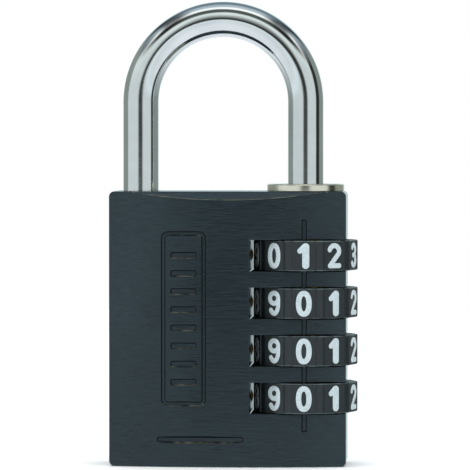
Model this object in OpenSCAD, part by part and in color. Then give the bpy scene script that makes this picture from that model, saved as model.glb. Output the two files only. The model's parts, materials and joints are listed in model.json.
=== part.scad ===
// Combination padlock with four resettable number dials.
// The front looks along -Y, +X is to the right and +Z is up.
// The origin is the middle of the body's flat base.

/* [Body] */
// Width of the body across its straight sides
body_w = 40; // [40:0.5:44]
// Height of the body from its base to its top face
body_h = 46.4; // [46.4:0.2:50]
// Thickness of the body at its middle
body_t = 16; // [16:0.5:19]
// How far the front and back faces bulge beyond their sides
face_bulge = 2; // [1.5:0.1:2.5]
// Radius of the corners seen from the front
corner_r = 0.9; // [0.4:0.1:1.5]
// Depth of the top edge bevels at the middle of the body
top_bevel = 1.4; // [0.8:0.1:1.9]

/* [Engraving] */
// Depth of the lines cut in the front face
engrave_depth = 0.3; // [0.1:0.05:0.4]
// Width of the index line beside the dials
index_w = 0.85; // [0.4:0.05:1.2]
// Width of the decorative panel
panel_w = 7.6; // [5:0.1:9]
// Height of the decorative panel
panel_h = 29.4; // [20:0.2:32]
// Number of bars in the decorative panel
panel_bars = 8; // [3:1:9]

/* [Dials] */
// Distance from one dial to the next
dial_pitch = 8; // [8:0.1:8.4]
// Height of a dial
dial_h = 5.1; // [4.9:0.05:5.2]
// Distance from the dial axis to a number flat
dial_flat_r = 8.6; // [8.5:0.05:8.65]
// Width of a number flat
flat_w = 4; // [3.8:0.05:4.2]
// Depth of the grooves between the number flats
groove_depth = 0.3; // [0.2:0.05:0.4]
// Height of the lowest dial's middle above the base
dial_1st_z = 11.6; // [11.3:0.1:11.8]

/* [Shackle] */
// Diameter of the shackle bar
bar_d = 6; // [5.6:0.1:6]
// Distance between the shackle's two legs
leg_spacing = 28; // [26:0.5:28]
// Clear height under the shackle's arch
clear_h = 26.1; // [20:0.5:60]
// How deep the free leg sits in the body
toe_depth = 6; // [4:0.5:7]
// How far the shackle lifts to open
lift = 8; // [8:0.1:8.4]

/* [Hidden] */
LEVELS = [1, 2, 3, 4];  // 1 is the top dial
$fn = 72;
run = 0.05;             // running clearance on a radius or between faces
axis_x = 13;            // the dial axis, which is also the shackle's fixed leg

// body
face_r = (pow(body_w / 2, 2) + pow(face_bulge, 2)) / (2 * face_bulge);
face_fn = 360;
slot_h = dial_h + 0.2;
slot_x = 3.8;           // the slots' closed end
bore_r = 5.2;
top_bevel_y = body_t / 2 - top_bevel;
index_z = [5.9, 41.7];  // bottom and top of the index line
panel_x = -7.3;
panel_z = 25;
panel_line = 0.75;
panel_corner = 1.1;
bar_size = [4.4, 1.1];
bar_corner = 0.3;
bar_step = (panel_h - 5) / panel_bars;
foot_line = [-4.5, 4.6];
foot_line_size = [14.6, 1];
engrave_reach = 3;      // past the face, so that the cut is open

// stack on the dial axis, from the base up
plug_head_r = 6.35;
plug_head_h = 1.5;
plug_spigot_h = 1;
plug_top = plug_head_h + plug_spigot_h;
sleeve_r = bore_r - 0.08;
sleeve_h = dial_pitch - run;
sleeve_below = 4;       // sleeve's foot below the middle of its dial
stack_z = dial_1st_z - sleeve_below;
stack_top = stack_z + 4 * dial_pitch;
washer_h = 0.8;
washer_z = stack_z - washer_h - run;
reset_travel = 1.1;

// code sleeve
gate_h = 1.5;
gate_r = 2.1;
gate_w = 2.5;
gate_reach = 3.65;
recess_r = 3.9;
lug_r = 6;
lug_w = 1.1;
lug_h = 0.85;
lug_z = 0.22;           // lug's foot above the middle of its dial
notch_r = 6.1;
notch_w = 1.3;
notch_z = 0.2;
free_r = 6.3;           // the hollow under the notches, where a lug is free
key_w = 1.5;

// shackle and spindle
bar_r = bar_d / 2;
toe_x = axis_x - leg_spacing;
arch_r = leg_spacing / 2;
arch_z = body_h + clear_h - arch_r + bar_r;
leg_foot_z = stack_top + 2 * run;
toe_z = body_h - toe_depth;
toe_hole_r = bar_r + 0.2;
toe_hole_depth = toe_depth + 0.5;
spindle_r = 2;
spindle_z = plug_top + run;
fin_r = 3.5;
fin_w = 2.2;
fin_h = 1.5;
fin_free = 1.2;         // free height between a fin and the gate above it

// bush
flange_r = 6.55;
flange_h = 1.2;
flange_edge = 0.25;
funnel = 0.9;           // chamfer round the bar on top of the flange
bush_bore_r = bar_r + run;
pocket_r = fin_r + 0.1;
top_fin_z = stack_top - run - gate_h - fin_free;
pocket_top = top_fin_z + lift + run;

// detents
sweep_r = sqrt(pow(dial_flat_r, 2) + pow(flat_w / 2, 2));
pin_r = 1.15;
pin_l = 3;
pin_dome_r = 2;
pin_tip_x = axis_x - sweep_r - run;
pin_hole_r = pin_r + run;
pin_hole_x = pin_tip_x - 6.5;  // the holes' closed end

function dial_z(i) = dial_1st_z + (4 - i) * dial_pitch;

module rounded_rect(size, r) {
    square([size[0] - 2 * r, size[1]], center = true);
    square([size[0], size[1] - 2 * r], center = true);
    for (x = [-1, 1], y = [-1, 1])
        translate([x * (size[0] / 2 - r), y * (size[1] / 2 - r)]) circle(r);
}

// an upright drawing in X and Z, as a prism along Y
module upright(y0, y1) {
    translate([0, y1, 0]) rotate([90, 0, 0]) linear_extrude(y1 - y0) children();
}

module blank_body() {
    intersection() {
        translate([0, face_r - body_t / 2, 0])
            cylinder(r = face_r, h = body_h, $fn = face_fn);
        translate([0, body_t / 2 - face_r, 0])
            cylinder(r = face_r, h = body_h, $fn = face_fn);
        upright(-body_t, body_t)
            translate([0, body_h / 2]) rounded_rect([body_w, body_h], corner_r);
    }
}

module top_bevels() {
    for (side = [-1, 1])
        translate([0, side * top_bevel_y, body_h]) rotate([side * -45, 0, 0])
            translate([-body_w, -body_w / 2, 0]) cube([2 * body_w, body_w, 5]);
}

module engraving() {
    difference() {
        upright(-body_t / 2 - engrave_reach, 0) {
            translate([axis_x - index_w / 2, index_z[0]])
                square([index_w, index_z[1] - index_z[0]]);
            translate([panel_x, panel_z]) {
                difference() {
                    rounded_rect([panel_w, panel_h], panel_corner);
                    rounded_rect([panel_w - 2 * panel_line, panel_h - 2 * panel_line],
                                 panel_corner - panel_line);
                }
                for (k = [0:panel_bars - 1])
                    translate([0, (k - (panel_bars - 1) / 2) * bar_step])
                        rounded_rect(bar_size, bar_corner);
            }
            translate(foot_line) rounded_rect(foot_line_size, bar_corner);
        }
        translate([0, face_r - body_t / 2, -1])
            cylinder(r = face_r - engrave_depth, h = body_h + 2, $fn = face_fn);
    }
}

module lock_body() {
    color("#37424a") difference() {
        blank_body();
        top_bevels();
        engraving();
        for (i = LEVELS) {
            translate([slot_x, -body_t, dial_z(i) - slot_h / 2])
                cube([body_w, 2 * body_t, slot_h]);
            translate([pin_hole_x, 0, dial_z(i)]) rotate([0, 90, 0])
                cylinder(r = pin_hole_r, h = slot_x - pin_hole_x + 1);
        }
        translate([axis_x, 0, -1]) cylinder(r = bore_r, h = body_h + 2);
        translate([axis_x, 0, -1]) cylinder(r = plug_head_r, h = plug_head_h + 1);
        translate([axis_x - key_w / 2, 0, -1]) cube([key_w, notch_r, dial_z(1) + 1]);
        translate([toe_x, 0, body_h - toe_hole_depth])
            cylinder(r = toe_hole_r, h = toe_hole_depth + 1);
    }
}

module base_plug() {
    color("#37424a") translate([axis_x, 0, 0]) rotate_extrude() polygon([
        [0, run], [plug_head_r - 0.2, run], [plug_head_r, run + 0.2], [plug_head_r, plug_head_h],
        [bore_r, plug_head_h], [bore_r, plug_top], [0, plug_top]
    ]);
}

module shackle() {
    color("#c3cacb") {
        translate([axis_x - arch_r, 0, arch_z]) rotate([90, 0, 0])
            rotate_extrude(angle = 180) translate([arch_r, 0]) circle(bar_r);
        translate([axis_x, 0, leg_foot_z]) cylinder(r = bar_r, h = arch_z - leg_foot_z);
        translate([toe_x, 0, 0]) rotate_extrude() polygon([
            [0, toe_z], [bar_r - 0.5, toe_z], [bar_r, toe_z + 0.5], [bar_r, arch_z], [0, arch_z]
        ]);
        translate([axis_x, 0, 0]) rotate_extrude() polygon([
            [0, spindle_z], [spindle_r - 0.4, spindle_z], [spindle_r, spindle_z + 0.4],
            [spindle_r, leg_foot_z], [0, leg_foot_z]
        ]);
        for (i = LEVELS)
            translate([axis_x, 0, top_fin_z - fin_h - (i - 1) * dial_pitch]) intersection() {
                cylinder(r = fin_r, h = fin_h);
                translate([-fin_r, -fin_w / 2, 0]) cube([fin_r, fin_w, fin_h]);
            }
    }
}

module shackle_bush() {
    color("#c5c3b4") translate([axis_x, 0, 0]) rotate_extrude() polygon([
        [pocket_r, stack_top], [bore_r, stack_top], [bore_r, body_h], [flange_r, body_h],
        [flange_r, body_h + flange_h - flange_edge], [flange_r - flange_edge, body_h + flange_h],
        [bush_bore_r + funnel, body_h + flange_h], [bush_bore_r, body_h + flange_h - funnel / 2],
        [bush_bore_r, pocket_top], [pocket_r, pocket_top]
    ]);
}

module dial(i) {
    color("#2b3033") translate([axis_x, 0, dial_z(i) - dial_h / 2]) difference() {
        linear_extrude(dial_h) dial_outline();
        translate([0, 0, -1]) cylinder(r = bore_r, h = dial_h + 2);
        translate([0, 0, -1]) cylinder(r = free_r, h = dial_h / 2 + notch_z + 1);
        for (k = [0:9])
            rotate([0, 0, k * 36 - 90]) translate([0, -notch_w / 2, 0])
                cube([notch_r, notch_w, dial_h + 1]);
    }
}

// ten flats, with one facing the front, and a groove across each corner
module dial_outline() {
    half_corner = 18 - atan(flat_w / 2 / dial_flat_r);
    chord_r = sweep_r * cos(half_corner);
    half_chord = sweep_r * sin(half_corner);
    groove_r = (pow(half_chord, 2) + pow(groove_depth, 2)) / (2 * groove_depth);
    difference() {
        rotate(-72) circle(r = dial_flat_r / cos(18), $fn = 10);
        for (k = [0:9])
            rotate(k * 36 - 72) translate([chord_r - groove_depth + groove_r, 0]) circle(groove_r);
    }
}

module code_sleeve(i) {
    color("#c9a24a") translate([axis_x, 0, dial_z(i) - sleeve_below]) {
        difference() {
            cylinder(r = sleeve_r, h = sleeve_h);
            translate([0, 0, -1]) cylinder(r = recess_r, h = sleeve_h - gate_h + 1);
            cylinder(r = gate_r, h = sleeve_h + 1);
            translate([-gate_reach, -gate_w / 2, 0]) cube([gate_reach, gate_w, sleeve_h + 1]);
        }
        translate([-lug_w / 2, (recess_r + sleeve_r) / 2, sleeve_below + lug_z])
            cube([lug_w, lug_r - (recess_r + sleeve_r) / 2, lug_h]);
    }
}

module thrust_washer() {
    color("#b8bcbd") translate([axis_x, 0, washer_z]) difference() {
        cylinder(r = sleeve_r, h = washer_h);
        translate([0, 0, -1]) cylinder(r = gate_r, h = washer_h + 2);
    }
}

// a round wire wound into a coil along +Z, from z = 0 to z = length, with flat end turns
module coil(r, wire_r, length, turns, steps, sides) {
    n = turns * steps;
    // the first and last turns rise little, so that the ends are closed
    function rise(t) = t < 1 ? 0.12 * t
        : t > turns - 1 ? 1 - 0.12 * (turns - t)
        : 0.12 + 0.76 * (t - 1) / (turns - 2);
    rings = [for (k = [0:n]) let (t = k / steps, a = 360 * t)
        [for (s = [0:sides - 1]) let (b = 360 * s / sides, d = r + wire_r * cos(b))
            [d * cos(a), d * sin(a), wire_r + (length - 2 * wire_r) * rise(t) + wire_r * sin(b)]]];
    points = [for (ring = rings) each ring];
    walls = [for (k = [0:n - 1], s = [0:sides - 1]) let (u = (s + 1) % sides)
        [k * sides + s, (k + 1) * sides + s, (k + 1) * sides + u, k * sides + u]];
    first = [for (s = [0:sides - 1]) s];
    last = [for (s = [sides - 1:-1:0]) n * sides + s];
    polyhedron(points, concat(walls, [first, last]));
}

module reset_spring() {
    color("#9aa0a3") translate([axis_x, 0, plug_top + run])
        coil(3.9, 0.3, washer_z - plug_top - 2 * run, 4, 20, 8);
}

// a plunger with a domed tip, which just clears the turning dial
module detent_pin(i) {
    color("#c9a227") translate([pin_tip_x - pin_l, 0, dial_z(i)]) rotate([0, 90, 0])
        intersection() {
            cylinder(r = pin_r, h = pin_l);
            translate([0, 0, pin_l - pin_dome_r]) sphere(pin_dome_r);
        }
}

module detent_spring(i) {
    color("#9aa0a3") translate([pin_hole_x + run, 0, dial_z(i)]) rotate([0, 90, 0])
        coil(0.8, 0.14, pin_tip_x - pin_l - pin_hole_x - 2 * run, 5, 14, 6);
}

lock_body();
base_plug();
shackle();
shackle_bush();
thrust_washer();
reset_spring();
for (i = LEVELS) {
    dial(i);
    code_sleeve(i);
    detent_pin(i);
    detent_spring(i);
}
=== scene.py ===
"""Looks for the combination padlock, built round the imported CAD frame.

Lengths are in millimetres until the meshes are made, and every mesh is in metres in the
frame's own axes: the front looks along -Y, +X is to the right and +Z is up.
"""

import json
import math

import bmesh
import bpy
import numpy as np
from mathutils import Matrix, Vector


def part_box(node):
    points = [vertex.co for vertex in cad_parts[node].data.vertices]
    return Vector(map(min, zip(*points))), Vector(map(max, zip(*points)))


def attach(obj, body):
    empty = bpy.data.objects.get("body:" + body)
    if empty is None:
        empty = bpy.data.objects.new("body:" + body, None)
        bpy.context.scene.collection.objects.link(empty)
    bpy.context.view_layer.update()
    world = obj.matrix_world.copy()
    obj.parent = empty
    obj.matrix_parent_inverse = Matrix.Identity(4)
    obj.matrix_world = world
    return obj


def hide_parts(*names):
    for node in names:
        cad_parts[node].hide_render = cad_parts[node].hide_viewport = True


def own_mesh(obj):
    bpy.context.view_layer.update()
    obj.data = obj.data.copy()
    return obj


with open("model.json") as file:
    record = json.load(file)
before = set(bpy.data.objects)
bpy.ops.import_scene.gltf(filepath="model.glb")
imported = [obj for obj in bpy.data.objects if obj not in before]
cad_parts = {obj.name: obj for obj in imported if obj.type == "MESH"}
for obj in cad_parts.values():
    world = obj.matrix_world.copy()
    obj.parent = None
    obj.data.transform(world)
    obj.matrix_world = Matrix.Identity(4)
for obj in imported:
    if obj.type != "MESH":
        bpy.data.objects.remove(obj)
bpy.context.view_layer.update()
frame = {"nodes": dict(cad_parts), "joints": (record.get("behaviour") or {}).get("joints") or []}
MM = 0.001
LEVELS = (1, 2, 3, 4)  # 1 is the top dial


def box_mm(node):
    """A CAD node's lowest and highest corners, in millimetres."""
    low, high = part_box(node)
    return low / MM, high / MM


def joint(name):
    """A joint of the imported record, by name."""
    return next(j for j in frame["joints"] if j["name"] == name)


# ---------------------------------------------------------------- sizes, from the frame

body_low, body_high = box_mm("lock_body")
BODY_W = body_high.x - body_low.x
BODY_H = body_high.z
BODY_T = body_high.y - body_low.y
FACE_BULGE = 2.0
FACE_R = ((BODY_W / 2) ** 2 + FACE_BULGE**2) / (2 * FACE_BULGE)
CORNER_R = 0.9
TOP_BEVEL = 1.4
BEVEL_Y = BODY_T / 2 - TOP_BEVEL  # half the flat top's depth
EDGE_R = 0.16  # rounding of the machined edges
THROUGH = 5.0  # how far a cutter goes past the face that it opens

AXIS_X = joint("dial_1_turn")["pos_m"][0] / MM
DIAL_Z = {i: joint(f"dial_{i}_turn")["pos_m"][2] / MM for i in LEVELS}
dial_low, dial_high = box_mm("dial_1")
DIAL_H = dial_high.z - dial_low.z
DIAL_FLAT_R = (dial_high.y - dial_low.y) / 2
FLAT_W = 4.0
GROOVE_DEPTH = 0.3
DIGIT_STEP = 36.0
DIAL_RIM = 0.22  # rounding of a dial's rims
NOTCH_W = 1.3
NOTCH_Z = 0.2  # the notches' lower end, from the dial's middle
SLOT_X = 3.8
SLOT_H = DIAL_H + 0.2
BORE_R = 5.2
KEY_W = 1.5
KEY_REACH = 6.1
LUG_FREE_R = 6.3

shackle_low, shackle_high = box_mm("shackle")
BAR_R = (shackle_high.y - shackle_low.y) / 2
TOE_X = shackle_low.x + BAR_R
ARCH_R = (AXIS_X - TOE_X) / 2
ARCH_X = (AXIS_X + TOE_X) / 2
ARCH_Z = shackle_high.z - ARCH_R - BAR_R
TOE_Z = BODY_H - 6.0
TOE_HOLE_R = BAR_R + 0.2
TOE_HOLE_DEPTH = 6.5
STACK_TOP = DIAL_Z[1] + 4.0
FIN_FOOT = -0.25  # a fin's foot from the middle of its dial
SPINDLE_TOP = 40.0  # inside the fixed leg

bush_low, bush_high = box_mm("shackle_bush")
plug_low, plug_high = box_mm("base_plug")
PLUG_HEAD_R = (plug_high.x - plug_low.x) / 2
PLUG_SEAT_TOP = 1.5
pin_low, pin_high = box_mm("detent_pin_1")
PIN_R = (pin_high.y - pin_low.y) / 2
PIN_DOME_R = 2.0
PIN_HOLE_R = PIN_R + 0.05
PIN_HOLE_X = box_mm("detent_spring_1")[0].x - 0.05

ENGRAVE_DEPTH = 0.3
PANEL_X, PANEL_Z = -7.3, 25.0
PANEL_W, PANEL_H = 7.6, 29.4
PANEL_LINE = 0.75
PANEL_CORNER = 1.1
PANEL_BARS = 8
PANEL_END = 2.5  # from the panel's ends to the field of its bars
PANEL_BAR = (4.4, 1.1)
FOOT_LINE = (14.6, 1.0)
FOOT_LINE_AT = (-4.5, 4.6)
LINE_CORNER = 0.3
INDEX_W = 0.85
INDEX_Z = (5.9, 41.7)


# ---------------------------------------------------------------- mesh helpers


def link(obj):
    """Puts a new object into the scene."""
    bpy.context.scene.collection.objects.link(obj)
    return obj


def make_object(name, verts, faces):
    """A mesh object from points in millimetres, with its faces turned outward."""
    mesh = bpy.data.meshes.new(name)
    mesh.from_pydata([Vector(v) * MM for v in verts], [], faces)
    bm = bmesh.new()
    bm.from_mesh(mesh)
    bmesh.ops.remove_doubles(bm, verts=bm.verts, dist=1e-3 * MM)
    bmesh.ops.dissolve_degenerate(bm, edges=bm.edges, dist=1e-3 * MM)
    bmesh.ops.recalc_face_normals(bm, faces=bm.faces)
    bm.to_mesh(mesh)
    bm.free()
    return link(bpy.data.objects.new(name, mesh))


def loft(name, rings, closed=False):
    """A closed skin through rings that have the same number of points."""
    n = len(rings[0])
    verts = [p for ring in rings for p in ring]
    faces = []
    spans = len(rings) if closed else len(rings) - 1
    for a in range(spans):
        b = (a + 1) % len(rings)
        for k in range(n):
            m = (k + 1) % n
            faces.append((a * n + k, a * n + m, b * n + m, b * n + k))
    if not closed:
        faces.append(tuple(range(n)))
        faces.append(tuple(range((len(rings) - 1) * n, len(rings) * n)))
    return make_object(name, verts, faces)


def lathe(name, profile, centre=(0, 0, 0), steps=128):
    """A closed profile of (radius, height) points turned about +Z through centre."""
    cx, cy, cz = centre
    rings = []
    for k in range(steps):
        a = 2 * math.pi * k / steps
        rings.append([(cx + r * math.cos(a), cy + r * math.sin(a), cz + z) for r, z in profile])
    return loft(name, rings, closed=True)


def arc(cx, cy, r, start, end, steps):
    """Points on an arc, angles in degrees."""
    points = []
    for k in range(steps + 1):
        a = math.radians(start + (end - start) * k / steps)
        points.append((cx + r * math.cos(a), cy + r * math.sin(a)))
    return points


def rounded_rect(w, h, r, steps=6):
    """A rectangle about the origin with round corners, anticlockwise."""
    x, y = w / 2 - r, h / 2 - r
    return (
        arc(x, y, r, 0, 90, steps)
        + arc(-x, y, r, 90, 180, steps)
        + arc(-x, -y, r, 180, 270, steps)
        + arc(x, -y, r, 270, 360, steps)
    )


def cylinder(name, r, z0, z1, centre=(0, 0), steps=96):
    """A plain cylinder along +Z, used as a cutter."""
    rings = []
    for z in (z0, z1):
        rings.append([(centre[0] + x, centre[1] + y, z) for x, y in arc(0, 0, r, 0, 360, steps)[:-1]])
    return loft(name, rings)


def block(name, low, high):
    """A plain block, used as a cutter."""
    rings = []
    corners = [(low[0], low[1]), (high[0], low[1]), (high[0], high[1]), (low[0], high[1])]
    for z in (low[2], high[2]):
        rings.append([(x, y, z) for x, y in corners])
    return loft(name, rings)


def turned_to_x(obj):
    """Turns a cutter made along +Z to point along +X."""
    obj.data.transform(Matrix.Rotation(math.radians(90), 4, "Y"))
    return obj


def freeze(obj):
    """Applies an object's modifiers to its mesh."""
    graph = bpy.context.evaluated_depsgraph_get()
    done = bpy.data.meshes.new_from_object(obj.evaluated_get(graph))
    obj.modifiers.clear()
    old = obj.data
    obj.data = done
    bpy.data.meshes.remove(old)
    return obj


def boolean(obj, others, operation="DIFFERENCE"):
    """Cuts, or joins, other objects into obj and removes them."""
    for other in others:
        step = obj.modifiers.new("cut", "BOOLEAN")
        step.operation = operation
        step.solver = "EXACT"
        step.object = other
        step.material_mode = "TRANSFER"
        freeze(obj)
    for other in others:
        bpy.data.objects.remove(other)
    return obj


def round_edges(obj, width, choose):
    """Rounds the edges that choose(edge) picks, width in millimetres."""
    bm = bmesh.new()
    bm.from_mesh(obj.data)
    edges = [e for e in bm.edges if len(e.link_faces) == 2 and choose(e)]
    bmesh.ops.bevel(
        bm,
        geom=edges,
        offset=width * MM,
        offset_type="OFFSET",
        segments=3,
        profile=0.5,
        affect="EDGES",
        clamp_overlap=False,
    )
    bm.to_mesh(obj.data)
    bm.free()
    return obj


def sharp(edge, degrees):
    """Is the edge a real corner, and not a step on a curved face?"""
    return edge.calc_face_angle(0) > math.radians(degrees)


def smooth(obj, degrees=32, weighted=True):
    """Smooth shading that keeps the real corners."""
    for face in obj.data.polygons:
        face.use_smooth = True
    obj.data.set_sharp_from_angle(angle=math.radians(degrees))
    if weighted:
        step = obj.modifiers.new("normals", "WEIGHTED_NORMAL")
        step.keep_sharp = True
        step.weight = 80
    return obj


# ---------------------------------------------------------------- material helpers


class Shader:
    """A small writer of node materials."""

    def __init__(self, name):
        self.material = bpy.data.materials.new(name)
        self.material.use_nodes = True
        self.tree = self.material.node_tree
        self.bsdf = self.tree.nodes["Principled BSDF"]
        self.coords = self.tree.nodes.new("ShaderNodeTexCoord")

    def node(self, kind, **inputs):
        """A new node, with its inputs set or linked by name."""
        made = self.tree.nodes.new("ShaderNode" + kind)
        for key, value in inputs.items():
            self.put(made.inputs[key.replace("_", " ")], value)
        return made

    def put(self, socket, value):
        """Sets a socket, or links it where value is another socket."""
        if isinstance(value, bpy.types.NodeSocket):
            self.tree.links.new(value, socket)
        else:
            socket.default_value = value

    def surface(self, **inputs):
        """Sets the shader's own sockets."""
        for key, value in inputs.items():
            self.put(self.bsdf.inputs[key.replace("_", " ")], value)
        return self

    def noise(self, scale, stretch=(1, 1, 1), detail=4.0, roughness=0.5):
        """Noise in the object's own metres, stretched per axis. Returns its 0 to 1 value."""
        mapping = self.tree.nodes.new("ShaderNodeMapping")
        self.tree.links.new(self.coords.outputs["Object"], mapping.inputs["Vector"])
        mapping.inputs["Scale"].default_value = stretch
        made = self.node("TexNoise", Scale=scale, Detail=detail, Roughness=roughness)
        self.tree.links.new(mapping.outputs["Vector"], made.inputs["Vector"])
        return made.outputs[0]

    def ramp(self, value, *stops):
        """A colour ramp over value, from (position, colour) stops."""
        made = self.node("ValToRGB", Fac=value)
        items = made.color_ramp.elements
        while len(items) < len(stops):
            items.new(0.5)
        for item, (position, colour) in zip(items, stops):
            item.position = position
            item.color = colour if len(colour) == 4 else (*colour, 1)
        return made.outputs["Color"]

    def levels(self, value, low, high):
        """value from 0 to 1 moved to low to high."""
        made = self.node("MapRange", Value=value)
        made.inputs["To Min"].default_value = low
        made.inputs["To Max"].default_value = high
        return made.outputs["Result"]

    def math(self, operation, a, b):
        """One sum of two values."""
        made = self.tree.nodes.new("ShaderNodeMath")
        made.operation = operation
        self.put(made.inputs[0], a)
        self.put(made.inputs[1], b)
        return made.outputs[0]

    def blend(self, factor, a, b):
        """A mix of two values."""
        made = self.tree.nodes.new("ShaderNodeMix")
        made.data_type = "FLOAT"
        self.put(made.inputs[0], factor)
        self.put(made.inputs[2], a)
        self.put(made.inputs[3], b)
        return made.outputs[0]

    def round_z(self):
        """The direction that runs round the object's upright axis."""
        made = self.tree.nodes.new("ShaderNodeTangent")
        made.direction_type = "RADIAL"
        made.axis = "Z"
        return made.outputs["Tangent"]

    def bump(self, height, strength, distance_mm):
        """Bump from a height value."""
        made = self.node("Bump", Height=height, Strength=strength, Distance=distance_mm * MM)
        self.tree.links.new(made.outputs["Normal"], self.bsdf.inputs["Normal"])
        return self


def srgb(r, g, b):
    """A colour from its 0 to 255 values, in linear light."""
    out = []
    for c in (r, g, b):
        c /= 255
        out.append(c / 12.92 if c <= 0.04045 else ((c + 0.055) / 1.055) ** 2.4)
    return (*out, 1)


def brush(shader, along, across):
    """Brush lines that run along X on the front and back and along Y on the sides."""
    front = shader.noise(1, (along, across, across), detail=6, roughness=0.65)
    side = shader.noise(1, (across, along, across), detail=6, roughness=0.65)
    parts = shader.node("SeparateXYZ", Vector=shader.coords.outputs["Normal"])
    facing = shader.math("ABSOLUTE", parts.outputs["X"], 0)
    on_side = shader.math("GREATER_THAN", facing, 0.8)
    return shader.blend(on_side, front, side)


def anodised_material():
    """Black anodised aluminium, brushed across, for the body."""
    s = Shader("anodised_brushed")
    lines = brush(s, 300, 3600)
    cloud = s.noise(45, detail=3)
    tone = s.math("ADD", s.math("MULTIPLY", lines, 0.6), s.math("MULTIPLY", cloud, 0.4))
    colour = s.ramp(tone, (0.3, srgb(32, 43, 47)), (0.7, srgb(53, 66, 72)))
    s.surface(Base_Color=colour, Metallic=0.6, Roughness=s.levels(lines, 0.11, 0.22))
    s.surface(Anisotropic=0.35, Anisotropic_Rotation=0.25, Tangent=s.round_z())
    s.bump(lines, 0.75, 0.03)
    return s.material


def engraved_material():
    """The cut walls of the engraved lines: dark, with a painted highlight in patches where they face
    up.
    """
    s = Shader("anodised_cut")
    grain = s.noise(2500, detail=4)
    patch = s.noise(500, detail=3)
    parts = s.node("SeparateXYZ", Vector=s.coords.outputs["Normal"])
    # painted highlight: walls that face up are coloured pale in patches, as if lit from above; the
    # second and third colours below are this highlight
    painted_highlight_mask = s.math("MULTIPLY", s.math("GREATER_THAN", parts.outputs["Z"], 0.6), patch)
    deep, painted_highlight_tone, painted_glint = srgb(8, 11, 13), srgb(26, 28, 27), srgb(104, 103, 90)
    s.surface(
        Base_Color=s.ramp(painted_highlight_mask, (0.0, deep), (0.42, painted_highlight_tone), (0.6, painted_glint)),
        Metallic=0.3,
        Roughness=s.levels(grain, 0.5, 0.7),
    )
    s.bump(grain, 0.2, 0.01)
    return s.material


def milled_material():
    """Matt dark anodised walls, milled, inside the dial slots."""
    s = Shader("anodised_milled")
    marks = s.noise(1, (1200, 1200, 9000), detail=4)
    s.surface(
        Base_Color=s.ramp(marks, (0.3, srgb(24, 28, 30)), (0.7, srgb(36, 41, 44))),
        Roughness=s.levels(marks, 0.75, 0.9),
        Specular_IOR_Level=0.12,
    )
    s.bump(marks, 0.15, 0.01)
    return s.material


def slot_end_material():
    """The slots' end walls, satin from the side of the cutter."""
    s = Shader("anodised_slot_end")
    marks = s.noise(1, (300, 2500, 6000), detail=4)
    s.surface(
        Base_Color=s.ramp(marks, (0.3, srgb(20, 27, 29)), (0.7, srgb(34, 44, 47))),
        Metallic=0.3,
        Roughness=s.levels(marks, 0.2, 0.34),
    )
    s.bump(marks, 0.2, 0.01)
    return s.material


def wear_and_highlight_edge_material():
    """A pale gold-grey line along the edge between the face and the top bevel: partly wear, partly a
    painted highlight.
    """
    s = Shader("anodised_wear_and_highlight_edge")
    # partly wear, partly painted highlight: noise patches turn the edge pale gold-grey
    pale_patches = s.noise(1, (180, 700, 700), detail=5, roughness=0.7)
    s.surface(
        Base_Color=s.ramp(pale_patches, (0.38, srgb(44, 50, 53)), (0.6, srgb(128, 128, 112))),
        Metallic=0.5,
        Roughness=s.levels(pale_patches, 0.5, 0.36),
    )
    s.bump(pale_patches, 0.1, 0.01)
    return s.material


def chrome_material():
    """Bright chrome plate with faint drawing lines and a few soft marks."""
    s = Shader("chrome_plate")
    lines = s.noise(1, (7000, 7000, 240), detail=4)
    smear = s.noise(160, detail=4, roughness=0.6)
    s.surface(
        Base_Color=s.ramp(smear, (0.3, srgb(208, 214, 214)), (0.7, srgb(222, 227, 226))),
        Metallic=1.0,
        Roughness=s.levels(smear, 0.06, 0.12),
    )
    s.bump(lines, 0.12, 0.01)
    return s.material


def nickel_material():
    """Warm nickel plate, turned, for the bush."""
    s = Shader("nickel_plate")
    rings = s.noise(1, (400, 400, 16000), detail=3)
    s.surface(
        Base_Color=s.ramp(rings, (0.3, srgb(220, 217, 197)), (0.7, srgb(238, 235, 219))),
        Metallic=1.0,
        Roughness=s.levels(rings, 0.16, 0.26),
    )
    s.bump(rings, 0.05, 0.01)
    return s.material


def dial_material():
    """Satin black dial stock with a fine grain, and a painted highlight in patches on its rounded rims.
    """
    s = Shader("dial_satin_black")
    grain = s.noise(3800, detail=4, roughness=0.6)
    cloud = s.noise(300, detail=3)
    parts = s.node("SeparateXYZ", Vector=s.coords.outputs["Normal"])
    tilt = s.math("ABSOLUTE", parts.outputs["Z"], 0)
    # painted highlight: the rounded rims, top and bottom, are coloured paler in patches, as if they
    # catch the light; the last colour below is this highlight
    rim = s.math("MULTIPLY", s.math("GREATER_THAN", tilt, 0.3), s.math("LESS_THAN", tilt, 0.93))
    pale_patches = s.math("MULTIPLY", rim, s.noise(900, detail=3))
    tone = s.blend(pale_patches, s.levels(cloud, 0.1, 0.6), 1.35)
    black, worn, painted_highlight_tone = srgb(25, 33, 36), srgb(34, 44, 48), srgb(96, 110, 112)
    s.surface(
        Base_Color=s.ramp(tone, (0.1, black), (0.6, worn), (1.0, painted_highlight_tone)),
        Metallic=0.0,
        Roughness=s.levels(grain, 0.38, 0.5),
    )
    s.bump(grain, 0.12, 0.02)
    return s.material


def number_material():
    """The pale paint of the numbers."""
    s = Shader("number_paint")
    grain = s.noise(2600, detail=5, roughness=0.65)
    s.surface(
        Base_Color=s.ramp(grain, (0.3, srgb(184, 199, 204)), (0.65, srgb(206, 219, 223))),
        Metallic=0.0,
        Roughness=s.levels(grain, 0.5, 0.65),
    )
    s.bump(grain, 0.15, 0.015)
    return s.material


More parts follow.
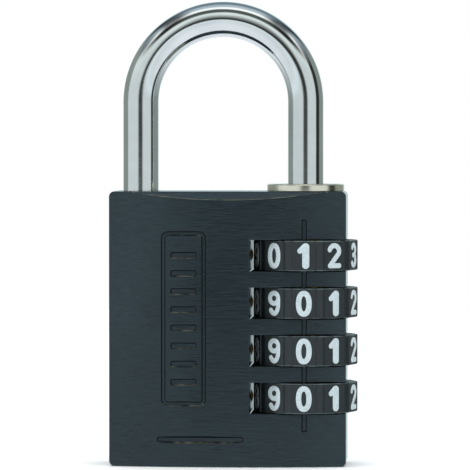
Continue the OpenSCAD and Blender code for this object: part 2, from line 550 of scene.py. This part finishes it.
def brass_material(name, polish, metallic=1.0):
    """Brass with fine turning marks; polish is its mean roughness."""
    s = Shader(name)
    marks = s.noise(1, (700, 700, 9000), detail=4)
    cloud = s.noise(500, detail=3)
    s.surface(
        Base_Color=s.ramp(cloud, (0.3, srgb(204, 160, 52)), (0.7, srgb(232, 192, 84))),
        Metallic=metallic,
        Roughness=s.levels(marks, polish - 0.06, polish + 0.06),
    )
    s.bump(marks, 0.08, 0.01)
    return s.material


def steel_material(name, polish):
    """Plain steel for springs and washers."""
    s = Shader(name)
    marks = s.noise(1400, (1, 1, 3), detail=5)
    s.surface(
        Base_Color=s.ramp(marks, (0.3, srgb(140, 144, 147)), (0.7, srgb(172, 176, 178))),
        Metallic=1.0,
        Roughness=s.levels(marks, polish - 0.07, polish + 0.07),
    )
    s.bump(marks, 0.08, 0.01)
    return s.material


ANODISED = anodised_material()
ENGRAVED = engraved_material()
MILLED = milled_material()
SLOT_END = slot_end_material()
WEAR_AND_HIGHLIGHT_EDGE = wear_and_highlight_edge_material()
CHROME = chrome_material()
NICKEL = nickel_material()
DIAL_BLACK = dial_material()
NUMBER_PAINT = number_material()
BRASS = brass_material("sleeve_brass_turned", 0.3)
PIN_BRASS = brass_material("pin_brass_worn", 0.38, 0.1)
SPRING_STEEL = steel_material("spring_wire", 0.28)
WASHER_STEEL = steel_material("stamped_steel", 0.34)


def give(obj, *materials):
    """Sets an object's materials, the first for faces that have none."""
    obj.data.materials.clear()
    for material in materials:
        obj.data.materials.append(material)
    return obj


def place(obj, body, slot, *nodes):
    """Rides a piece on its body and hides the CAD nodes it stands for. slot, its finish, is not used.
    """
    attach(obj, body)
    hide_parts(*nodes)
    return obj


# ---------------------------------------------------------------- lock body


def face_y(x):
    """Distance from the middle plane to the front or back face at x."""
    return math.sqrt(FACE_R**2 - x**2) - FACE_R + BODY_T / 2


def body_section(x):
    """The body's outline in Y and Z at x, with its top edges bevelled."""
    half = BODY_W / 2
    inset = max(0.0, abs(x) - (half - CORNER_R))
    rise = CORNER_R - math.sqrt(max(0.0, CORNER_R**2 - inset**2))
    low, high = rise, BODY_H - rise
    y = face_y(x)
    top_y = min(y, BEVEL_Y)
    cut = y - top_y
    half_section = [(y, low), (y, high - cut), (top_y, high)]
    other_half = [(-a, b) for a, b in reversed(half_section)]
    return [(x, a, b) for a, b in half_section + other_half]


def body_stations():
    """The places along X where the body's outline is taken."""
    start = BODY_W / 2 - CORNER_R
    corner = [start + CORNER_R * math.sin(math.radians(a)) for a in (0, 18, 36, 54, 72, 90)]
    bevel_end = math.sqrt(FACE_R**2 - (BEVEL_Y - BODY_T / 2 + FACE_R) ** 2)
    inner = [k * 0.5 for k in range(int(2 * start) + 1)]
    inner = [x for x in inner if abs(x - bevel_end) > 0.2 and abs(x - SLOT_X) > 0.2 and x < start - 0.1]
    right = sorted(set(inner + [bevel_end] + corner))
    return [-x for x in reversed(right) if x > 0] + right


def slot_cutters():
    """The dials' slots, which are cut before the body's edges are rounded."""
    cutters = []
    for i in LEVELS:
        low = (SLOT_X, -BODY_T, DIAL_Z[i] - SLOT_H / 2)
        high = (BODY_W, BODY_T, DIAL_Z[i] + SLOT_H / 2)
        cutter = give(block(f"slot_{i}", low, high), MILLED, SLOT_END)
        for face in cutter.data.polygons:
            face.material_index = 1 if face.normal.x < -0.9 else 0
        cutters.append(cutter)
    return cutters


def body_bores():
    """The bores, cut after the edges are rounded."""
    key_low = (AXIS_X - KEY_W / 2, 0, -THROUGH)
    key_high = (AXIS_X + KEY_W / 2, KEY_REACH, DIAL_Z[1])
    cutters = [
        cylinder("bore", BORE_R, -THROUGH, BODY_H + THROUGH, (AXIS_X, 0)),
        cylinder("plug_seat", PLUG_HEAD_R, -THROUGH, PLUG_SEAT_TOP, (AXIS_X, 0)),
        block("keyway", key_low, key_high),
        toe_hole_cutter(),
    ]
    for i in LEVELS:
        hole = cylinder(f"pin_hole_{i}", PIN_HOLE_R, PIN_HOLE_X, SLOT_X + 1, steps=48)
        turned_to_x(hole)
        hole.data.transform(Matrix.Translation((0, 0, DIAL_Z[i] * MM)))
        cutters.append(hole)
    return cutters


def toe_hole_cutter():
    """The free leg's blind hole, with a small chamfer at its mouth."""
    bottom = BODY_H - TOE_HOLE_DEPTH
    mouth = 0.25
    profile = [
        (0, bottom),
        (TOE_HOLE_R, bottom),
        (TOE_HOLE_R, BODY_H - mouth),
        (TOE_HOLE_R + mouth + 1, BODY_H + 1),
        (0, BODY_H + 1),
    ]
    return lathe("toe_hole", profile, (TOE_X, 0, 0), steps=96)


def engraving_cutter(name, outline, centre, hole=None):
    """A cutter with sloping walls and a floor that follows the front face.

    outline and hole are functions of an offset that return points in X and Z about the centre.
    """
    reach, slope = 0.5, math.tan(math.radians(28))

    def ring(points, depth):
        """Points in X and Z about the centre, laid at a depth under the front face."""
        laid = [(centre[0] + x, centre[1] + z) for x, z in points]
        return [(x, depth - face_y(x), z) for x, z in laid]

    rings = [ring(outline(-depth * slope), depth) for depth in (-reach, ENGRAVE_DEPTH)]
    if hole is not None:
        rings += [ring(hole(depth * slope), depth) for depth in (ENGRAVE_DEPTH, -reach)]
    obj = loft(name, rings, closed=hole is not None)
    give(obj, ENGRAVED, ANODISED)
    for face in obj.data.polygons:
        depth = face.center.y / MM + face_y(face.center.x / MM)
        if abs(face.normal.y) > 0.97 and depth > ENGRAVE_DEPTH * 0.8:
            face.material_index = 1
    return obj


def line_outline(w, h, corner, steps=6):
    """An outline for engraving_cutter: a round-cornered rectangle that grows by its offset."""
    return lambda offset: rounded_rect(w + 2 * offset, h + 2 * offset, corner + offset, steps)


def panel_engravings():
    """The plain panel: a frame line with a row of bars inside it, and a line at the foot."""
    inner_w, inner_h = PANEL_W - 2 * PANEL_LINE, PANEL_H - 2 * PANEL_LINE
    cutters = [
        engraving_cutter(
            "panel_line",
            line_outline(PANEL_W, PANEL_H, PANEL_CORNER),
            (PANEL_X, PANEL_Z),
            hole=line_outline(inner_w, inner_h, PANEL_CORNER - PANEL_LINE),
        )
    ]
    step = (PANEL_H - 2 * PANEL_END) / PANEL_BARS
    bar = line_outline(*PANEL_BAR, LINE_CORNER, 4)
    for k in range(PANEL_BARS):
        z = PANEL_Z + (k - (PANEL_BARS - 1) / 2) * step
        cutters.append(engraving_cutter(f"bar_{k}", bar, (PANEL_X, z)))
    foot = line_outline(*FOOT_LINE, LINE_CORNER, 4)
    cutters.append(engraving_cutter("foot_line", foot, FOOT_LINE_AT))
    return cutters


def index_engraving():
    """The upright index line beside the dials."""
    low, high = INDEX_Z
    line = line_outline(INDEX_W, high - low, 0.2, 3)
    return engraving_cutter("index_line", line, (AXIS_X, (low + high) / 2))


def make_lock_body():
    """The body: lofted slab, slots, rounded edges, bores, then the engraving."""
    body = loft("body_shell", [body_section(x) for x in body_stations()])
    give(body, ANODISED, ENGRAVED, WEAR_AND_HIGHLIGHT_EDGE)
    boolean(body, slot_cutters())
    round_edges(body, EDGE_R, lambda e: sharp(e, 30))
    mark_wear_and_highlight_edges(body)
    boolean(body, body_bores())
    boolean(body, [index_engraving(), *panel_engravings()])
    smooth(body)
    return place(body, "lock_body", "body_aluminium", "lock_body")


def mark_wear_and_highlight_edges(body):
    """Gives the rounded edge between the front face and the top bevel its pale line of wear and painted
    highlight.
    """
    for face in body.data.polygons:
        x, y, z = face.center / MM
        if abs(x) > 18 or z < BODY_H - TOP_BEVEL - 0.5:
            continue
        edge_z = BODY_H - (face_y(x) - BEVEL_Y)
        tilt = math.degrees(math.asin(max(-1, min(1, face.normal.z))))
        # the faces of the rounding that tilt up by 15 to 30 degrees take the pale line, partly wear and
        # partly a painted highlight
        if abs(z - edge_z) < 0.2 and 15 < tilt < 30:
            face.material_index = 2


# ---------------------------------------------------------------- plug and bush


def make_base_plug():
    """The plug that closes the bore from below."""
    r, low, high = PLUG_HEAD_R, plug_low.z, plug_high.z
    shoulder = PLUG_SEAT_TOP - 0.02
    profile = [
        (0.0, low),
        (r - 0.25, low),
        *arc(r - 0.2, low + 0.2, 0.2, 270, 360, 5),
        (r - 0.01, shoulder),
        (BORE_R - 0.01, shoulder),
        (BORE_R - 0.01, high),
        (0.0, high),
    ]
    plug = lathe("base_plug_cap", profile, (AXIS_X, 0, 0))
    give(plug, ANODISED)
    smooth(plug)
    return place(plug, "lock_body", "body_aluminium", "base_plug")


def make_bush():
    """The flanged bush, with a rounded rim and a funnel round the bar."""
    flange_r = (bush_high.x - bush_low.x) / 2
    top, foot = bush_high.z, bush_low.z
    bore = BAR_R + 0.05
    pocket_r, pocket_top, rim = 3.6, STACK_TOP + 5.3, 0.28
    profile = [
        (pocket_r, foot),
        (BORE_R - 0.01, foot),
        (BORE_R - 0.01, BODY_H + 0.01),
        (flange_r - 0.06, BODY_H + 0.01),
        (flange_r, BODY_H + 0.08),
        *arc(flange_r - rim, top - rim, rim, 0, 90, 6),
        *arc(bore + 0.98, top - 0.08, 0.08, 90, 135, 2),
        (bore, top - 0.5),
        (bore, pocket_top),
        (pocket_r, pocket_top),
    ]
    bush = lathe("bush_flange", profile, (AXIS_X, 0, 0), steps=160)
    give(bush, NICKEL)
    smooth(bush)
    return place(bush, "lock_body", "bush_nickel", "shackle_bush")


# ---------------------------------------------------------------- shackle


def make_shackle():
    """The bent bar with its spindle and fins."""
    toe_round, leg_round, leg_foot, turns = 0.5, 0.3, STACK_TOP + 0.1, 96
    levels = (BODY_H, BODY_H + 5, ARCH_Z - 1)  # rings up a leg, below the arch

    def circle(r):
        return arc(0, 0, r, 0, 360, 72)[:-1]

    rings = []
    for angle in (0, 20, 40, 60, 80, 90):
        t = math.radians(angle)
        r, z = BAR_R - toe_round + toe_round * math.sin(t), TOE_Z + toe_round * (1 - math.cos(t))
        rings.append([(TOE_X + a, b, z) for a, b in circle(r)])
    for z in (BODY_H - 2, *levels):
        rings.append([(TOE_X + a, b, z) for a, b in circle(BAR_R)])
    for k in range(turns + 1):
        t = math.radians(180 - 180 * k / turns)
        ring = []
        for a, b in circle(BAR_R):
            reach = ARCH_R - a
            ring.append((ARCH_X + reach * math.cos(t), b, ARCH_Z + reach * math.sin(t)))
        rings.append(ring)
    for z in (*reversed(levels), leg_foot + leg_round):
        rings.append([(AXIS_X - a, b, z) for a, b in circle(BAR_R)])
    rings.append([(AXIS_X - a, b, leg_foot) for a, b in circle(BAR_R - leg_round)])
    bar = loft("shackle_bar", rings)
    boolean(bar, [spindle()], "UNION")
    give(bar, CHROME)
    smooth(bar, degrees=40)
    return place(bar, "shackle", "shackle_chrome", "shackle")


def spindle():
    """The thin lower end of the fixed leg, with a fin for each dial."""
    low = shackle_low.z
    r, point, fin_r, fin_w, fin_h, fin_angle = 2.0, 0.4, 3.5, 2.2, 1.5, 18.32
    profile = [(0, low), (r - point, low), (r, low + point), (r, SPINDLE_TOP), (0, SPINDLE_TOP)]
    core = lathe("spindle", profile, (AXIS_X, 0, 0), steps=72)
    fins = []
    for i in LEVELS:
        foot = DIAL_Z[i] + FIN_FOOT
        side = [(-x, y) for x, y in arc(0, 0, fin_r, -fin_angle, fin_angle, 8)]
        ring = [(AXIS_X + x, y) for x, y in side] + [(AXIS_X, fin_w / 2), (AXIS_X, -fin_w / 2)]
        fins.append(loft(f"fin_{i}", [[(x, y, z) for x, y in ring] for z in (foot, foot + fin_h)]))
    return boolean(core, fins, "UNION")


# ---------------------------------------------------------------- dials


def dial_outline(inset):
    """Ten flats with a groove between each two, drawn in by inset, as points about the axis."""

    def turned(x, y, a):
        return x * math.cos(a) - y * math.sin(a), x * math.sin(a) + y * math.cos(a)

    half_flat, half_step = FLAT_W / 2, math.radians(DIGIT_STEP / 2)
    sweep = math.hypot(DIAL_FLAT_R, half_flat)
    half_corner = half_step - math.atan2(half_flat, DIAL_FLAT_R)
    chord_r, half_chord = sweep * math.cos(half_corner), sweep * math.sin(half_corner)
    # shares of the groove's half width and of its depth
    section = [(-0.86, 0.7), (-0.5, 0.92), (0, 1), (0.5, 0.92), (0.86, 0.7)]
    flat_end = half_flat - 0.55 * inset
    side = [(DIAL_FLAT_R - inset, y) for y in (-flat_end, 0, flat_end)]
    for across, deep in section:
        x = chord_r - deep * GROOVE_DEPTH - inset
        side.append(turned(x, across * half_chord, half_step))
    points = []
    for k in range(10):
        turn = math.radians(k * DIGIT_STEP - 90)
        points += [turned(x, y, turn) for x, y in side]
    return points


def make_dial(i):
    """A ten-sided dial with rounded rims, its bore and its ten notches."""
    middle = DIAL_Z[i]
    rings = []
    for a in (0, 22.5, 45, 67.5, 90):
        t = math.radians(a)
        rings.append((DIAL_RIM * (1 - math.sin(t)), -DIAL_H / 2 + DIAL_RIM * (1 - math.cos(t))))
    rings += [(inset, -z) for inset, z in reversed(rings)]
    skin = [[(AXIS_X + x, y, middle + z) for x, y in dial_outline(inset)] for inset, z in rings]
    dial = loft(f"dial_{i}_wheel", skin)
    cutters = [
        cylinder("bore", BORE_R, middle - THROUGH, middle + THROUGH, (AXIS_X, 0)),
        cylinder("lug_room", LUG_FREE_R, middle - THROUGH, middle + NOTCH_Z, (AXIS_X, 0)),
    ]
    boolean(dial, cutters)
    notch_low = (0, -NOTCH_W / 2, middle - 1)
    notch_high = (KEY_REACH, NOTCH_W / 2, middle + THROUGH)
    notches = []
    for k in range(10):
        notch = block("notch", notch_low, notch_high)
        notch.data.transform(Matrix.Rotation(math.radians(k * DIGIT_STEP), 4, "Z"))
        notch.data.transform(Matrix.Translation((AXIS_X * MM, 0, 0)))
        notches.append(notch)
    boolean(dial, notches)
    give(dial, DIAL_BLACK)
    smooth(dial, degrees=24)
    return place(dial, f"dial_{i}", "dial_black", f"dial_{i}")


# ---------------------------------------------------------------- numbers
# Each number is a set of strokes: points in millimetres about the number's middle, and a stroke radius.


def stroke_arc(cx, cy, rx, ry, start, end, steps=16):
    """Points along a part of an ellipse, angles in degrees."""
    points = []
    for k in range(steps + 1):
        a = math.radians(start + (end - start) * k / steps)
        points.append((cx + rx * math.cos(a), cy + ry * math.sin(a)))
    return points


def digit_strokes(digit):
    """The strokes of a bold, round-ended number, 4.4 mm tall."""
    w, h, r = 0.88, 1.72, 0.43
    if digit == 0:
        oval = []
        for k in range(48):
            a = 2 * math.pi * k / 48
            c, s = math.cos(a), math.sin(a)
            oval.append((w * math.copysign(abs(c) ** 0.86, c), h * math.copysign(abs(s) ** 0.92, s)))
        return [(oval + oval[:1], r + 0.02)]
    if digit == 1:
        return [([(0.32, h - 0.16), (0.32, -h + 0.16)], 0.6), ([(0.12, h - 0.08), (-0.66, 0.84)], 0.45)]
    if digit == 2:
        top = stroke_arc(0, 0.78, w + 0.08, h - 0.78, 165, -28)
        return [(top + [(-w, -h + 0.06), (w + 0.1, -h + 0.06)], r - 0.01)]
    if digit == 3:
        upper = stroke_arc(-0.04, 0.86, w - 0.1, h - 0.86, 150, -80)
        lower = stroke_arc(-0.04, -0.84, w, h - 0.84, 80, -150)
        return [(upper + [(-0.25, 0.02)], r - 0.02), ([(-0.25, 0.02)] + lower, r - 0.02)]
    if digit == 4:
        return [([(0.35, -h), (0.35, h), (-w - 0.1, -0.75), (w + 0.12, -0.75)], r - 0.03)]
    if digit == 5:
        bowl = stroke_arc(-0.08, -0.62, w + 0.04, h - 0.62, 115, -145)
        return [([(w - 0.05, h), (-w + 0.2, h), (-w + 0.1, 0.2)] + bowl, r - 0.02)]
    if digit in (6, 9):
        bowl = stroke_arc(0, -0.84, w, h - 0.84, 0, 360, 30)
        tail = [(-w, -0.84), (-w, 0.12)] + stroke_arc(0, 0.12, w, h - 0.12, 180, 40)
        flip = 1 if digit == 6 else -1
        return [([(x * flip, y * flip) for x, y in part], r - 0.02) for part in (bowl, tail)]
    if digit == 7:
        return [([(-w, h - 0.05), (w, h - 0.05), (0.15, -0.3), (-0.2, -h)], r)]
    upper = stroke_arc(0, 0.9, w - 0.12, h - 0.9, 0, 360, 30)
    lower = stroke_arc(0, -0.8, w, h - 0.8, 0, 360, 30)
    return [(upper, r - 0.04), (lower, r - 0.04)]


def stroke_field(strokes, xs, zs):
    """How far each grid point is inside the strokes, in millimetres: positive inside."""
    gx, gz = np.meshgrid(xs, zs, indexing="ij")
    inside = np.full(gx.shape, -9.0)
    for points, radius in strokes:
        for (ax, az), (bx, bz) in zip(points, points[1:]):
            dx, dz = bx - ax, bz - az
            length = max(dx * dx + dz * dz, 1e-12)
            t = np.clip(((gx - ax) * dx + (gz - az) * dz) / length, 0, 1)
            gap = np.hypot(gx - ax - t * dx, gz - az - t * dz)
            inside = np.maximum(inside, radius - gap)
    return inside


def contours(field, xs, zs):
    """The closed lines where the field is zero, by walking the grid's cells."""
    links = {}

    def crossing(i, j, m, n):
        """The point where the field changes sign between two grid corners."""
        a, b = field[i, j], field[m, n]
        t = a / (a - b)
        return (xs[i] + t * (xs[m] - xs[i]), zs[j] + t * (zs[n] - zs[j]))

    for i in range(len(xs) - 1):
        for j in range(len(zs) - 1):
            corners = [(i, j), (i + 1, j), (i + 1, j + 1), (i, j + 1)]
            signs = [field[c] > 0 for c in corners]
            if all(signs) or not any(signs):
                continue
            leaving, entering = [], []
            for k in range(4):
                a, b = corners[k], corners[(k + 1) % 4]
                if signs[k] != signs[(k + 1) % 4]:
                    key = (min(a, b), max(a, b))
                    (leaving if signs[k] else entering).append((key, crossing(*a, *b)))
            for start, end in zip(entering, leaving):
                links[start[0]] = (end[0], start[1])
    loops = []
    while links:
        key = next(iter(links))
        loop = []
        while key in links:
            key, point = links.pop(key)
            loop.append(point)
        if len(loop) > 8:
            loops.append(loop)
    return loops


def digit_loops(digit):
    """A number's outlines, thinned to what its curves need."""
    half_w, half_h, cell = 1.9, 2.6, 0.05
    xs = np.arange(-half_w, half_w, cell)
    zs = np.arange(-half_h, half_h, cell)
    field = stroke_field(digit_strokes(digit), xs, zs)
    return [loop[::2] for loop in contours(field, xs, zs)]


DIGIT_LOOPS = {digit: digit_loops(digit) for digit in range(10)}


def digit_piece(digit):
    """A number as a thin raised solid on the plane y = 0, facing -Y, in millimetres."""
    curve = bpy.data.curves.new("digit", "CURVE")
    curve.dimensions = "2D"
    curve.fill_mode = "BOTH"
    edge = 0.03
    curve.extrude = edge
    curve.bevel_depth = edge
    curve.bevel_resolution = 1
    curve.offset = -edge
    for loop in DIGIT_LOOPS[digit]:
        line = curve.splines.new("POLY")
        line.points.add(len(loop) - 1)
        for point, (x, z) in zip(line.points, loop):
            point.co = (x, z, 0, 1)
        line.use_cyclic_u = True
    obj = link(bpy.data.objects.new("digit", curve))
    mesh = bpy.data.meshes.new_from_object(obj.evaluated_get(bpy.context.evaluated_depsgraph_get()))
    bpy.data.objects.remove(obj)
    bpy.data.curves.remove(curve)
    mesh.transform(Matrix.Rotation(math.radians(90), 4, "X"))
    return mesh


def make_numbers(i, front_digit):
    """All ten numbers of a dial as one piece, with front_digit at the index line."""
    bm = bmesh.new()
    for digit in range(10):
        mesh = digit_piece(digit)
        turn = Matrix.Rotation(math.radians((digit - front_digit) * DIGIT_STEP), 4, "Z")
        spot = Matrix.Translation((AXIS_X, 0, DIAL_Z[i]))
        mesh.transform(Matrix.Scale(MM, 4) @ spot @ turn @ Matrix.Translation((0, -DIAL_FLAT_R, 0)))
        bm.from_mesh(mesh)
        bpy.data.meshes.remove(mesh)
    bmesh.ops.remove_doubles(bm, verts=bm.verts, dist=1e-4 * MM)
    bmesh.ops.recalc_face_normals(bm, faces=bm.faces)
    mesh = bpy.data.meshes.new(f"dial_{i}_numbers")
    bm.to_mesh(mesh)
    bm.free()
    numbers = link(bpy.data.objects.new(f"dial_{i}_numbers", mesh))
    give(numbers, NUMBER_PAINT)
    smooth(numbers, degrees=50, weighted=False)
    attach(numbers, f"dial_{i}")
    return numbers


# ---------------------------------------------------------------- inner pieces


def coil(name, r, wire, length, turns, centre, along_x=False):
    """A round wire coil with closed ends, starting at centre."""
    steps, sides = 40, 12
    end_share = 0.12  # how much of the height each end turn takes

    def rise(t):
        if t < 1:
            return end_share * t
        if t > turns - 1:
            return 1 - end_share * (turns - t)
        return end_share + (1 - 2 * end_share) * (t - 1) / (turns - 2)

    rings = []
    for k in range(turns * steps + 1):
        t = k / steps
        a = 2 * math.pi * t
        z = wire + (length - 2 * wire) * rise(t)
        ring = []
        for s in range(sides):
            b = 2 * math.pi * s / sides
            d = r + wire * math.cos(b)
            ring.append((d * math.cos(a), d * math.sin(a), z + wire * math.sin(b)))
        rings.append(ring)
    obj = loft(name, rings)
    if along_x:
        turned_to_x(obj)
    obj.data.transform(Matrix.Translation(Vector(centre) * MM))
    return obj


def make_springs():
    """The reset spring under the sleeves and the four detent springs."""
    low, high = box_mm("reset_spring")
    height = high.z - low.z
    spring = coil("reset_coil", 3.9, 0.3, height, 4, (AXIS_X, 0, low.z))
    give(spring, SPRING_STEEL)
    smooth(spring, weighted=False)
    place(spring, "lock_body", "spring_steel", "reset_spring")
    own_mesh(spring)
    for i in LEVELS:
        low, high = box_mm(f"detent_spring_{i}")
        start = (low.x, 0, DIAL_Z[i])
        spring = coil(f"detent_coil_{i}", 0.8, 0.14, high.x - low.x, 5, start, along_x=True)
        give(spring, SPRING_STEEL)
        smooth(spring, weighted=False)
        place(spring, "lock_body", "spring_steel", f"detent_spring_{i}")


def make_pin(i):
    """A detent pin with a domed tip."""
    length, chamfer, edge = pin_high.x - pin_low.x, 0.12, 0.04
    dome = math.degrees(math.asin((PIN_R - edge) / PIN_DOME_R))
    profile = [(0.0, 0.0), (PIN_R - chamfer, 0.0), (PIN_R, chamfer)]
    profile += [(PIN_R, length - PIN_DOME_R * (1 - math.cos(math.radians(dome))) - 0.05)]
    profile += [(x, z) for z, x in arc(length - PIN_DOME_R, 0, PIN_DOME_R, dome, 0, 12)]
    pin = turned_to_x(lathe(f"pin_{i}", profile, steps=72))
    pin.data.transform(Matrix.Translation(Vector((pin_low.x, 0, DIAL_Z[i])) * MM))
    give(pin, PIN_BRASS)
    smooth(pin, degrees=30)
    return place(pin, f"detent_pin_{i}", "pin_brass", f"detent_pin_{i}")


def finish_cad_nodes():
    """Materials and small edge breaks for the CAD nodes that stay."""
    finishes = {f"code_sleeve_{i}": BRASS for i in LEVELS}
    finishes["thrust_washer"] = WASHER_STEEL
    for name, material in finishes.items():
        node = frame["nodes"][name]
        give(node, material)
        step = node.modifiers.new("edge_break", "BEVEL")
        step.width = 0.06 * MM
        step.segments = 2
        step.limit_method = "ANGLE"
        step.angle_limit = math.radians(50)
        step.use_clamp_overlap = True


# ---------------------------------------------------------------- stage, lights and camera


def area_light(name, where, size, power, target):
    """A soft rectangular light that faces target."""
    data = bpy.data.lights.new(name, "AREA")
    data.shape = "RECTANGLE"
    data.size, data.size_y = size
    data.energy = power
    light = link(bpy.data.objects.new(name, data))
    light.location = where
    light.rotation_euler = (Vector(target) - Vector(where)).to_track_quat("-Z", "Y").to_euler()
    return light


def stage_material(name, tone):
    """A pale, matt, very slightly mottled floor."""
    s = Shader(name)
    cloud = s.noise(14, detail=4)
    low, high = (tone,) * 3, (tone + 0.02,) * 3
    s.surface(Base_Color=s.ramp(cloud, (0.3, low), (0.7, high)), Roughness=0.9)
    return s.material


def make_stage():
    """A plain pale floor."""
    radius, steps = 0.6, 96
    below_base = -0.00003
    verts = [(radius * x, radius * y, below_base) for x, y in arc(0, 0, 1, 0, 360, steps)[:-1]]
    mesh = bpy.data.meshes.new("floor")
    mesh.from_pydata(verts, [], [tuple(range(steps))])
    floor = link(bpy.data.objects.new("floor", mesh))
    give(floor, stage_material("floor_pale", 0.95))
    floor.visible_glossy = False


def make_world():
    """A studio seen in reflections: pale panels either side, a dark gap in front, grey walls.

    The camera sees plain white instead.
    """
    world = bpy.data.worlds.new("studio")
    bpy.context.scene.world = world
    world.use_nodes = True
    tree = world.node_tree
    nodes, links = tree.nodes, tree.links
    background = nodes["Background"]
    coords = nodes.new("ShaderNodeTexCoord")
    parts = nodes.new("ShaderNodeSeparateXYZ")
    links.new(coords.outputs["Generated"], parts.inputs[0])

    def calc(operation, a, b=0.0):
        made = nodes.new("ShaderNodeMath")
        made.operation = operation
        for socket, value in zip(made.inputs, (a, b)):
            if isinstance(value, bpy.types.NodeSocket):
                links.new(value, socket)
            else:
                socket.default_value = value
        return made.outputs[0]

    def ramp(value, stops):
        made = nodes.new("ShaderNodeValToRGB")
        items = made.color_ramp.elements
        while len(items) < len(stops):
            items.new(0.5)
        for item, (position, colour) in zip(items, stops):
            item.position = position
            item.color = (*colour, 1)
        links.new(value, made.inputs[0])
        return made.outputs["Color"]

    # azimuth from straight in front, -180 to 180, as 0 to 1
    azimuth = calc("ARCTAN2", parts.outputs["X"], calc("MULTIPLY", parts.outputs["Y"], -1))
    turn = calc("ADD", calc("DIVIDE", azimuth, 2 * math.pi), 0.5)
    rise = calc("ADD", calc("MULTIPLY", parts.outputs["Z"], 0.5), 0.5)

    def at(degrees):
        return 0.5 + degrees / 360

    def blend(factor, a, b):
        made = nodes.new("ShaderNodeMix")
        made.data_type = "RGBA"
        for socket, value in ((made.inputs[0], factor), (made.inputs[6], a), (made.inputs[7], b)):
            if isinstance(value, bpy.types.NodeSocket):
                links.new(value, socket)
            else:
                socket.default_value = (*value, 1)
        return made.outputs[2]

    def tint(a, b):
        made = nodes.new("ShaderNodeVectorMath")
        made.operation = "MULTIPLY"
        links.new(a, made.inputs[0])
        links.new(b, made.inputs[1])
        return made.outputs[0]

    wall = (0.3, 0.335, 0.32)
    dark = (0.03, 0.034, 0.03)
    panel = (0.77, 0.82, 0.84)
    white = (0.72, 0.88, 0.9)
    around = ramp(
        turn,
        [
            (0.0, white),
            (at(-162), white),
            (at(-150), wall),
            (at(-92), wall),
            (at(-86), panel),
            (at(70), panel),
            (at(76), dark),
            (at(97), dark),
            (at(105), wall),
            (at(150), wall),
            (at(162), white),
            (1.0, white),
        ],
    )
    none, full = (0, 0, 0), (1, 1, 1)
    gap_turn = ramp(turn, [(at(-19), none), (at(-7), full), (at(9), full), (at(19), none)])
    gap_rise = ramp(rise, [(0.47, none), (0.492, full), (0.55, full), (0.78, none)])
    gap = calc("MULTIPLY", gap_turn, gap_rise)
    backward = calc("ADD", calc("MULTIPLY", parts.outputs["Y"], 0.5), 0.5)
    sideways = calc("ABSOLUTE", parts.outputs["X"])
    high = ramp(rise, [(0.7, none), (0.78, full)])
    above = calc("MULTIPLY", high, ramp(backward, [(0.12, none), (0.17, full)]))
    overhead = ramp(
        backward,
        [
            (0.3, (0.1, 0.12, 0.11)),
            (0.35, (1.45, 1.45, 1.45)),
            (0.43, (1.35, 1.36, 1.38)),
            (0.5, (0.62, 0.7, 0.76)),
            (0.62, (0.56, 0.66, 0.74)),
            (0.75, (0.2, 0.26, 0.32)),
        ],
    )
    # the overhead panel ends short of the sides
    ends = [(0.36, 1.0), (0.5, 0.2), (0.62, 0.2), (0.7, 0.8), (0.84, 0.3)]
    overhead = tint(overhead, ramp(sideways, [(x, (v, v, v)) for x, v in ends]))
    low_glow, high_glow = (1.2, 1.25, 1.3), (1.3, 1.3, 1.25)
    glow = [(0.36, full), (0.43, low_glow), (0.475, full), (0.62, full), (0.78, high_glow)]
    floor, floor_right = (1.0, 1.03, 1.1), (0.8, 0.83, 0.88)
    ground = ramp(
        turn,
        [(at(70), floor), (at(76), dark), (at(97), dark), (at(105), floor_right), (1.0, floor)],
    )
    below = ramp(rise, [(0.2, full), (0.44, none)])
    lit = blend(below, tint(around, ramp(rise, glow)), ground)
    studio = blend(above, blend(gap, lit, dark), overhead)
    seen = nodes.new("ShaderNodeLightPath")
    shown = blend(seen.outputs["Is Camera Ray"], studio, (1, 1, 1))
    links.new(shown, background.inputs["Color"])
    background.inputs["Strength"].default_value = 1.0


def make_lights(middle):
    """One large soft light overhead. The world holds what chrome sees of it."""
    light = area_light("top", (0.0, 0.0, 2.0), (3.0, 3.0), 64.0, middle)
    light.visible_glossy = False


def make_camera(middle):
    """A long lens from just right of the front and slightly above."""
    azimuth, elevation, distance = math.radians(3.0), math.radians(1.5), 0.728
    data = bpy.data.cameras.new("camera")
    data.sensor_width = 36
    data.lens = 328.4
    data.clip_start = 0.05
    data.clip_end = 20
    camera = link(bpy.data.objects.new("camera", data))
    away = Vector(
        (
            math.sin(azimuth) * math.cos(elevation),
            -math.cos(azimuth) * math.cos(elevation),
            math.sin(elevation),
        )
    )
    camera.location = Vector(middle) + away * distance
    camera.rotation_euler = (-away).to_track_quat("-Z", "Y").to_euler()
    bpy.context.scene.camera = camera


def main():
    """Builds every piece, then the stage, lights and camera."""
    middle = (0.00099, 0.0, 0.0389)
    make_camera(middle)
    make_lock_body()
    make_base_plug()
    make_bush()
    make_shackle()
    for i in LEVELS:
        make_dial(i)
        make_numbers(i, 1 if i == 1 else 0)
        make_pin(i)
    make_springs()
    finish_cad_nodes()
    make_stage()
    make_world()
    make_lights(middle)
    bpy.context.scene.view_settings.view_transform = "Standard"


main()
